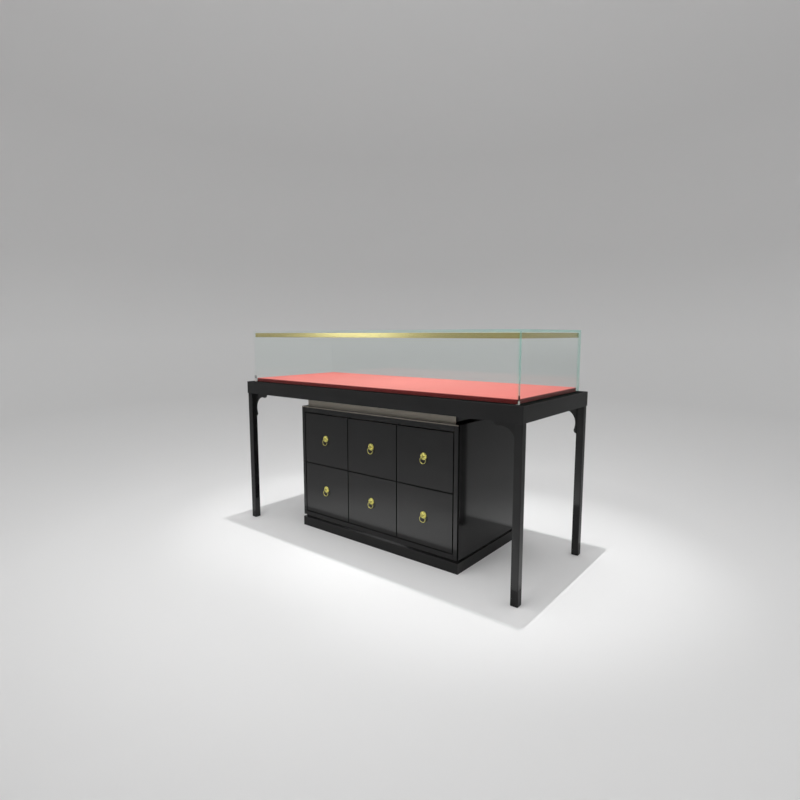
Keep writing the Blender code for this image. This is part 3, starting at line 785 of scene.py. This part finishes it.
def make_rails():
    """The table's rails: rounded outside edges, and the rebate that the base panel lies in."""
    low, high = corners_of("rail_front")
    panel_low = corners_of("base_panel")[0]
    width, height = high[1:] - low[1:]
    rebate_side, rebate_top = panel_low[1:] - low[1:] - SEAT
    section = np.concatenate([
        arc((RAIL_ARRIS, RAIL_ARRIS), RAIL_ARRIS, 180, 270, ARRIS_STEPS),
        [(width, 0.0), (width, rebate_top), (rebate_side, rebate_top), (rebate_side, height)],
        arc((RAIL_ARRIS, height - RAIL_ARRIS), RAIL_ARRIS, 90, 180, ARRIS_STEPS),
    ])
    half_size, centre = frame_of("rail")
    for side in QUARTER_TURNS:
        piece = finished(f"rail_{side}", *mitred_side(section, half_size, centre, side))
        paint_faces(piece, MATT_PAINT, lambda normals, centres: normals[:, 2] > LEVEL)
        even_normals(piece)


def make_plinth():
    """The plinth's boards: a rounded top edge, and the step back above it that makes the shadow gap."""
    low, high = corners_of("plinth_front")
    width, height = high[1:] - low[1:]
    section = np.concatenate([
        [(0.0, 0.0), (width, 0.0), (width, height), (SHADOW_DEPTH, height), (SHADOW_DEPTH, PLINTH_HEIGHT)],
        arc((RAIL_ARRIS, PLINTH_HEIGHT - RAIL_ARRIS), RAIL_ARRIS, 90, 180, ARRIS_STEPS),
    ])
    half_size, centre = frame_of("plinth")
    for side in QUARTER_TURNS:
        even_normals(finished(f"plinth_{side}", *mitred_side(section, half_size, centre, side)))


def bracket_outline():
    """A bracket, away from the leg and down from the rail: a hollow quarter circle between swelling lips.

    A lip swells by the square of the way along it and ends in a quarter ellipse.
    """
    centre = np.array([BRACKET_LEG_WEB + BRACKET_RADIUS, BRACKET_RAIL_WEB + BRACKET_RADIUS])
    way = np.linspace(0, 1, LIP_STEPS + 1)[1:-1]
    rail_swell = np.stack([
        centre[0] + BRACKET_RAIL_SWELL * way,
        BRACKET_RAIL_WEB + BRACKET_RAIL_LIP * way**2,
    ], -1)
    leg_swell = np.stack([
        BRACKET_LEG_WEB + BRACKET_LEG_LIP * way**2,
        centre[1] + BRACKET_LEG_SWELL * way,
    ], -1)
    rail_end = (BRACKET_RAIL_END, BRACKET_RAIL_WEB + BRACKET_RAIL_LIP)
    leg_end = (BRACKET_LEG_WEB + BRACKET_LEG_LIP, BRACKET_LEG_END)
    return np.concatenate([
        [(0.0, 0.0)],
        arc((centre[0] + BRACKET_RAIL_SWELL, 0.0), rail_end, 0, 90, LIP_END_STEPS),
        rail_swell[::-1],
        arc(centre, BRACKET_RADIUS, 270, 180, BRACKET_STEPS),
        leg_swell,
        arc((0.0, centre[1] + BRACKET_LEG_SWELL), leg_end, 0, 90, LIP_END_STEPS),
    ])


def make_brackets():
    """Four brackets: the outline carried through the board's thickness, with eased edges."""
    along, down = bracket_outline().T
    for front_back in ("front", "back"):
        for left_right, sign in END_SIGNS.items():
            node = f"bracket_{front_back}_{left_right}"
            low, high = corners_of(node)
            root = high[0] if sign > 0 else low[0]
            across, up = root - sign * along, high[2] - down
            ends = [np.stack([across, np.full_like(along, y), up], -1) for y in (low[1], high[1])]
            piece = finished(node, *swept_bar(*ends))
            bevel = piece.modifiers.new("eased_edges", "BEVEL")
            bevel.width = BRACKET_ARRIS
            bevel.segments = BEVEL_STEPS
            bevel.limit_method = "ANGLE"
            bevel.angle_limit = EASED_ANGLE
            even_normals(piece)


def make_legs():
    """The legs: rounded boards up to the rails."""
    for front_back in ("front", "back"):
        for left_right in END_SIGNS:
            node = f"leg_{front_back}_{left_right}"
            low, high = corners_of(node)
            high[2] = corners_of("rail_front")[0][2] - SEAT
            even_normals(finished(node, *rounded_board(low, high, LEG_ARRIS)))


def make_carcass():
    """The pedestal's top and bottom: rounded boards, matt on the inside."""
    for node, outward in (("carcass_top", 1), ("carcass_bottom", -1)):
        piece = finished(node, *rounded_board(*corners_of(node), CARCASS_ARRIS), HIGHLIGHT_LACQUER)
        paint_faces(piece, MATT_PAINT, lambda normals, centres: normals[:, 2] * outward < -TURNED)
        even_normals(piece)


def make_drawer_fronts():
    """The drawer fronts: rounded boards, matt on all but the front."""
    for drawer in DRAWERS:
        node = f"drawer_front_{drawer}"
        piece = finished(node, *rounded_board(*corners_of(node), FRONT_ARRIS))
        paint_faces(piece, MATT_PAINT, lambda normals, centres: normals[:, 1] > -TURNED)
        even_normals(piece)


def round_ends(piece, radius):
    """Rounds a standing bar's two ends: a bevel on its level edges, those of its end outlines."""
    mesh = piece.data
    heights = read_all(mesh.vertices, "co", 3)[:, 2]
    level = np.ptp(heights[read_all(mesh.edges, "vertices", 2, np.int32)], axis=1) < MERGE_DISTANCE
    weights = mesh.attributes.new("bevel_weight_edge", "FLOAT", "EDGE").data
    weights.foreach_set("value", level.astype(float))
    bevel = piece.modifiers.new("rounded_ends", "BEVEL")
    bevel.limit_method = "WEIGHT"
    bevel.width = radius
    bevel.segments = BEVEL_STEPS
    return piece


def side_outline(width, depth):
    """A pedestal side from above, outwards and back from its inner front corner.

    Its corners are quarter circles, and at the outer front corner a small square rebate is cut out.
    """
    step = width - CORNER_LINE
    return np.concatenate([
        arc((CARCASS_ARRIS, CARCASS_ARRIS), CARCASS_ARRIS, 180, 270, ARRIS_STEPS),
        arc((step - CORNER_ARRIS, CORNER_ARRIS), CORNER_ARRIS, 270, 360, ARRIS_STEPS),
        [(step, CORNER_LINE)],
        arc((width - CORNER_ARRIS, CORNER_LINE + CORNER_ARRIS), CORNER_ARRIS, 270, 360, ARRIS_STEPS),
        arc((width - CARCASS_ARRIS, depth - CARCASS_ARRIS), CARCASS_ARRIS, 0, 90, ARRIS_STEPS),
        arc((CARCASS_ARRIS, depth - CARCASS_ARRIS), CARCASS_ARRIS, 90, 180, ARRIS_STEPS),
    ])


def make_sides():
    """The pedestal's sides: an outline carried up to rounded ends, matt on the inside and in the rebate."""
    for left_right, sign in END_SIGNS.items():
        node = f"side_{left_right}"
        low, high = corners_of(node)
        inner, outer = (low[0], high[0]) if sign > 0 else (high[0], low[0])
        across, back = side_outline(*(high - low)[:2]).T
        levels = (low[2], high[2])
        ends = [np.stack([inner + sign * across, low[1] + back, np.full_like(back, z)], -1) for z in levels]

        def in_joint(normals, centres):
            """The faces on the inside, and those of the rebate."""
            cut = CORNER_LINE + JOINT_MARGIN
            in_rebate = ((outer - centres[:, 0]) * sign < cut) & (centres[:, 1] - low[1] < cut)
            return (normals[:, 0] * sign < -TURNED) | in_rebate

        piece = finished(node, *swept_bar(*ends), HIGHLIGHT_LACQUER)
        paint_faces(piece, MATT_PAINT, in_joint)
        even_normals(round_ends(piece, CARCASS_ARRIS))


def make_panes():
    """The hood's panes: rounded boards whose narrow faces have the green edge."""
    for side, axis in (("front", 1), ("back", 1), ("left", 0), ("right", 0), ("top", 2)):
        node = f"glass_{side}"
        low, high = corners_of(node)
        shine = BACK_SHINE if side == "back" else PANE_SHINE
        pane = clear_glass(f"clear_glass_{side}", shine, high[0] - END_TINT) if axis == 1 else None
        piece = even_normals(finished(node, *rounded_board(low, high, GLASS_ARRIS, GLASS_STEPS), pane))
        paint_faces(piece, GLASS_EDGE, lambda normals, centres: np.abs(normals[:, axis]) < PANE_FACE)


def make_band():
    """The brass band inside the hood: a rounded (inward, up) section carried round its four corners."""
    low, high = corners_of("band")
    inner, top = BAND_THICKNESS - BAND_ARRIS, high[2] - low[2] - BAND_ARRIS
    section = np.concatenate([
        arc((BAND_ARRIS, BAND_ARRIS), BAND_ARRIS, 180, 270, BAND_STEPS),
        arc((inner, BAND_ARRIS), BAND_ARRIS, 270, 360, BAND_STEPS),
        arc((inner, top), BAND_ARRIS, 0, 90, BAND_STEPS),
        arc((BAND_ARRIS, top), BAND_ARRIS, 90, 180, BAND_STEPS),
    ])
    inward, up = section.T
    half = (high - low) / 2
    middle = (high + low) / 2
    corner = np.array([(-1, -1), (1, -1), (1, 1), (-1, 1)])
    points = np.empty((len(corner), len(section), 3))
    points[..., 0] = middle[0] + corner[:, :1] * (half[0] - inward)
    points[..., 1] = middle[1] + corner[:, 1:] * (half[1] - inward)
    points[..., 2] = low[2] + up
    faces = grid_faces(len(corner) + 1, len(section)) % (len(corner) * len(section))
    even_normals(finished("band", points, faces, brass("brass_band_shaded", BAND_GRAIN, SHADED_BAND_TONES)))


def make_deck():
    """The cloth-covered deck: a board with the cloth's soft rounding, folded down over its edges."""
    low, high = corners_of("deck_board")
    points, faces = rounded_board(low, high, DECK_ARRIS, DECK_STEPS)
    # How far down the deck's side a point lies, for the painted shade there
    fold = np.clip((high[2] - points[:, 2]) / DECK_ARRIS, 0, 1)
    even_normals(finished("deck_board", points, faces, fold=fold))


def make_drawer_boxes():
    """Drawer boxes of five ply boards: two sides, front and back between them, and a floor in grooves."""
    ply = birch_ply("birch_boxes", carried_layers, GRAIN_ALONG_Y)
    wall, groove = BOX_WALL, BOX_WALL - BOX_GROOVE
    for drawer in DRAWERS:
        node = f"drawer_box_{drawer}"
        (x0, y0, z0), (x1, y1, z1) = corners_of(node)
        boards = (
            ((x0, y0, z0), (x0 + wall, y1, z1), 0),
            ((x1 - wall, y0, z0), (x1, y1, z1), 0),
            ((x0 + groove, y0 + BOX_SETBACK, z0), (x1 - groove, y0 + wall, z1 - BOX_SETBACK), 1),
            ((x0 + groove, y1 - wall, z0), (x1 - groove, y1 - BOX_SETBACK, z1 - BOX_SETBACK), 1),
            ((x0 + groove, y0 + groove, z0 + BOX_SETBACK), (x1 - groove, y1 - groove, z0 + BOX_FLOOR), 2),
        )
        points, faces, across = [], [], []
        for low, high, axis in boards:
            board, quads = rounded_board(low, high, BOX_ARRIS, BOX_STEPS)
            first = sum(map(len, points))
            depth = high[axis] - low[axis]
            veneers = 2 * round(depth / VENEER / 2)
            points.append(board)
            faces += [face + first for face in quads]
            across.append((board[:, axis] - low[axis]) / depth * veneers + 0.5)
        even_normals(finished(node, np.concatenate(points), faces, ply, across=np.concatenate(across)))


def bump_at(x, z, centre, widths, height, tilt=0.0):
    """A smooth bump or dent: height times e to minus the squared way from its centre, in widths, tilted."""
    cosine, sine = math.cos(tilt), math.sin(tilt)
    along = (x - centre[0]) * cosine + (z - centre[1]) * sine
    across = (z - centre[1]) * cosine - (x - centre[0]) * sine
    return height * np.exp(-((along / widths[0]) ** 2) - (across / widths[1]) ** 2)


def dome(x, z, centre, radii, rise):
    """Half an ellipsoid: the rise times the root of one less the squared way from its centre, in radii."""
    rest = 1 - ((x - centre[0]) / radii[0]) ** 2 - ((z - centre[1]) / radii[1]) ** 2
    return rise * np.sqrt(np.clip(rest, 0, None))


def ring_of(radius, ring, pattern):
    """A pattern on a ring: height times pattern times e to minus the squared way off the ring, in widths."""
    middle, width, height = ring
    return np.exp(-(((radius - middle) / width) ** 2)) * pattern * height


def mane_reach(angle):
    """The mane's outline in millimetres: its radius, less a scallop between each two of its locks."""
    return MASK_RADIUS - MANE_SCALLOP * (1 - np.abs(np.cos(LOCK_COUNT / 2 * angle)))


def lion_height(x, z):
    """Height of the lion's face in millimetres, and the part of it that is carving on the large shapes.

    The large shapes are plate, domed face, muzzle and ears. The highest one counts, softly: the logarithm of
    the sum of their exponentials. On them come two rings of locks with fine strands, and bumps and dents for
    brows, eyes, nose, mouth and chin. The rim falls to the back by a quarter ellipse.
    """
    angle = np.arctan2(z, x)
    radius = np.hypot(x, z)
    side = np.abs(x)
    shapes = [
        np.full_like(x, MASK_PLATE),
        dome(x, z, *LION_FACE),
        dome(x, z, *LION_MUZZLE),
        MASK_PLATE + dome(side, z, *LION_EAR) + bump_at(side, z, *EAR_HOLLOW),
    ]
    large = np.log(sum(np.exp(shape / LION_BLEND) for shape in shapes)) * LION_BLEND
    swirl = angle - LOCK_SWIRL * (radius - SWIRL_RADIUS) * np.cos(angle)
    outer = ring_of(radius, OUTER_LOCKS, 1 - np.abs(np.sin(LOCK_COUNT / 2 * swirl)) ** LOCK_CURVE)
    inner = ring_of(radius, INNER_LOCKS, 1 - np.abs(np.cos(LOCK_COUNT / 2 * swirl)) ** LOCK_CURVE)
    strands = ring_of(radius, STRANDS, np.cos(STRAND_COUNT * swirl))
    carved = (outer + inner + strands) * (1 - bump_at(side, z, *EAR_CLEARING))
    for carving in LION_PAIRS.values():
        carved = carved + bump_at(side, z, *carving)
    for carving in LION_MIDDLE.values():
        carved = carved + bump_at(x, z, *carving)
    below_mouth = (z + MOUTH_DROP + MOUTH_CURVE * x**2) / MOUTH_WIDTH
    carved = carved - MOUTH_DEPTH * np.exp(-(below_mouth**2) - (x / MOUTH_REACH) ** 4)
    to_rim = np.clip((radius / mane_reach(angle) - RIM_START) / (1 - RIM_START), 0, 1)
    return (large + carved) * np.sqrt(1 - to_rim**2), carved


def mask_surface():
    """A lion mask: rings of points in its scalloped outline, raised by the lion's height, on a flat back.

    The rings lie closer together towards the rim, by a sine.
    """
    angle = full_turn(MASK_STEPS)
    share = np.sin(np.linspace(0, math.pi / 2, MASK_RINGS + 1))[1:, None]
    x = share * mane_reach(angle) * np.cos(angle)
    z = share * mane_reach(angle) * np.sin(angle)
    points = np.stack([x, -lion_height(x, z)[0], z], -1) * DRAWN_MM
    hub = np.arange(MASK_STEPS)
    rim = (MASK_RINGS - 1) * MASK_STEPS + hub
    return points, [*grid_faces(MASK_RINGS, MASK_STEPS), hub[::-1], rim]


def bore_surface():
    """The bore through the lion's muzzle that the ring runs in: a circle carried along X."""
    angle = full_turn(BORE_STEPS)
    circle = JAW_BORE * np.stack([np.zeros(BORE_STEPS), np.cos(angle), np.sin(angle)], -1)
    centre = np.array([0, -HINGE_DEPTH, -HINGE_DROP])
    return swept_bar(*((circle + centre + (reach, 0, 0)) * DRAWN_MM for reach in (-BORE_REACH, BORE_REACH)))


def bored_mask():
    """The mesh of a mask less its bore, with the share of patina that each point carries."""
    mask = new_piece("mask_blank", mesh_of("mask_blank", *mask_surface()), FINISHES["brass"])
    bore = new_piece("mask_bore", mesh_of("mask_bore", *bore_surface()), FINISHES["brass"])
    cut = mask.modifiers.new("bore", "BOOLEAN")
    cut.object = bore
    cut.solver = "EXACT"
    shape = bpy.data.meshes.new_from_object(mask.evaluated_get(bpy.context.evaluated_depsgraph_get()))
    bpy.data.objects.remove(mask)
    bpy.data.objects.remove(bore)
    shape.shade_smooth()
    shape.set_sharp_from_angle(angle=CARVED_ANGLE)
    x, back, z = read_all(shape.vertices, "co", 3).T / DRAWN_MM
    height, carved = lion_height(x, z)
    hidden = np.abs(height + back) > HIDDEN_DEPTH
    recess = np.where(hidden, PATINA_HIDDEN, np.clip(PATINA_EVEN - carved * PATINA_CARVED, 0, 1))
    shape.attributes.new("recess", "FLOAT", "POINT").data.foreach_set("value", recess)
    return shape


def make_masks():
    """Six lion masks, each on the front of its drawer."""
    shape = bored_mask()
    place = read_all(shape.vertices, "co", 3)
    for drawer in DRAWERS:
        node = f"mask_{drawer}"
        low, high = corners_of(node)
        centre = np.array([(low[0] + high[0]) / 2, high[1], (low[2] + high[2]) / 2])
        mesh = shape.copy()
        mesh.vertices.foreach_set("co", (place + centre).ravel())
        mesh.materials.clear()
        stand_for(new_piece(f"{node}_finished", mesh, FINISHES["brass"]), node)


def make_rings():
    """Six rings: a round wire carried round an upright circle, a little thicker to the bottom by a cosine.

    The patina is least on the outside and at the bottom, where a ring is worn.
    """
    around, tube = np.meshgrid(full_turn(RING_STEPS), full_turn(WIRE_STEPS), indexing="ij")
    wire = RING_WIRE * (1 + RING_SWELL * (1 - np.cos(around)) / 2)
    reach = RING_RADIUS + wire * np.cos(tube)
    points = np.stack([reach * np.sin(around), wire * np.sin(tube), reach * np.cos(around)], -1)
    patina = RING_PATINA * (1 - np.cos(tube) + np.cos(around))
    faces = grid_faces(RING_STEPS + 1, WIRE_STEPS) % around.size
    for drawer in DRAWERS:
        node = f"ring_{drawer}"
        low, high = corners_of(node)
        centre = np.array([*(low + high)[:2] / 2, high[2] - (RING_RADIUS + RING_WIRE) * DRAWN_MM])
        finished(node, points * DRAWN_MM + centre, faces, recess=patina)


def dress_frame_nodes():
    """Finishes for the CAD nodes that stay: neck, panels, and the birch shelf and dividers."""
    plain = [f"neck_{side}" for side in QUARTER_TURNS] + ["base_panel", "back_panel"]
    materials = {node: FINISHES[SLOT_OF[node]] for node in plain}
    for node, axis, grain in (
        ("shelf", "Z", GRAIN_ALONG_X),
        ("divider_left", "X", GRAIN_ALONG_Y),
        ("divider_right", "X", GRAIN_ALONG_Y),
    ):
        low = corners_of(node)[0]
        layers = measured_layers(axis, low["XYZ".index(axis)])
        materials[node] = birch_ply(f"birch_{node}", layers, grain, low[1] + PAINTED_EDGE)
    for node, material in materials.items():
        slots = frame["nodes"][node].data.materials
        slots.clear()
        slots.append(material)


def make_stage():
    """A round studio sweep: a profile of floor, quarter-circle cove and wall, turned about Z."""
    rings = np.linspace(HUB_RADIUS, FLOOR_RADIUS, FLOOR_RINGS)[:-1]
    floor = np.stack([rings, np.zeros_like(rings)], -1)
    cove = arc((FLOOR_RADIUS, COVE_RADIUS), COVE_RADIUS, 270, 360, COVE_STEPS)
    wall = [(FLOOR_RADIUS + COVE_RADIUS, COVE_RADIUS + WALL_HEIGHT)]
    radius, height = np.concatenate([floor, cove, wall]).T[..., None]
    angle = full_turn(SWEEP_STEPS)
    points = np.stack(np.broadcast_arrays(radius * np.cos(angle), radius * np.sin(angle), height), -1)
    faces = [*grid_faces(len(radius), SWEEP_STEPS), np.arange(SWEEP_STEPS)]
    mesh = bpy.data.meshes.new("studio_sweep")
    mesh.from_pydata(points.reshape(-1, 3).tolist(), [], [list(face) for face in faces])
    mesh.shade_smooth()
    new_piece("studio_sweep", mesh, seamless_paper())


def make_sky():
    """A soft white sky, whose strength grows from the horizon to the zenith."""
    sky = Finish("studio_sky", world=True)
    up = sky.node("SeparateXYZ", None, {0: sky.node("TexCoord", output="Generated")}, output="Z")
    strength = sky.node("MapRange", None, {"Value": up, "To Min": SKY_HORIZON, "To Max": SKY_ZENITH})
    light = sky.node("Background", None, {"Color": (*WHITE, 1.0), "Strength": strength})
    bpy.context.scene.world = sky.surface(light)


def add_light(light, power, place, rotation):
    """A light in its place, that the camera does not see."""
    light.energy = power
    holder = bpy.data.objects.new(light.name, light)
    holder.location = place
    holder.rotation_euler = rotation
    holder.visible_camera = False
    bpy.context.scene.collection.objects.link(holder)


def flat_light(name, size, spread=math.pi):
    """A flat rectangular light, that shines within an angle of spread."""
    light = bpy.data.lights.new(name, "AREA")
    light.shape = "RECTANGLE"
    light.size, light.size_y = size
    light.spread = spread
    return light


def make_lamps():
    """Two small lamps above the cabinet, a wide fill in front and a soft panel that shows in the metal."""
    for index, place in enumerate(LAMPS):
        lamp = bpy.data.lights.new(f"lamp_{index}", "SPOT")
        lamp.shadow_soft_size = LAMP_RADIUS
        lamp.spot_size = LAMP_CONE
        lamp.spot_blend = 1.0
        add_light(lamp, LAMP_POWER, place, (LAMP_TILT, math.copysign(LAMP_TOE_IN, place[0]), 0))
    add_light(flat_light("fill", FILL_SIZE, FILL_SPREAD), FILL_POWER, FILL_PLACE, (FILL_TILT, 0, 0))
    add_light(flat_light("panel", PANEL_SIZE), PANEL_POWER, PANEL_PLACE, (math.pi / 2, 0, PANEL_TURN))


def make_camera():
    """The camera at the photograph's place, angle and lens."""
    camera = bpy.data.objects.new("camera", bpy.data.cameras.new("camera"))
    camera.location = CAMERA_PLACE
    camera.rotation_euler = (CAMERA_TILT, 0, CAMERA_TURN)
    camera.data.lens = CAMERA_LENS
    bpy.context.scene.collection.objects.link(camera)
    bpy.context.scene.camera = camera


make_camera()
make_sky()
make_lamps()
make_stage()
make_rails()
make_plinth()
make_brackets()
make_legs()
make_carcass()
make_drawer_fronts()
make_sides()
make_panes()
make_band()
make_deck()
make_drawer_boxes()
make_masks()
make_rings()
dress_frame_nodes()

bpy.context.scene.view_settings.view_transform = "Standard"
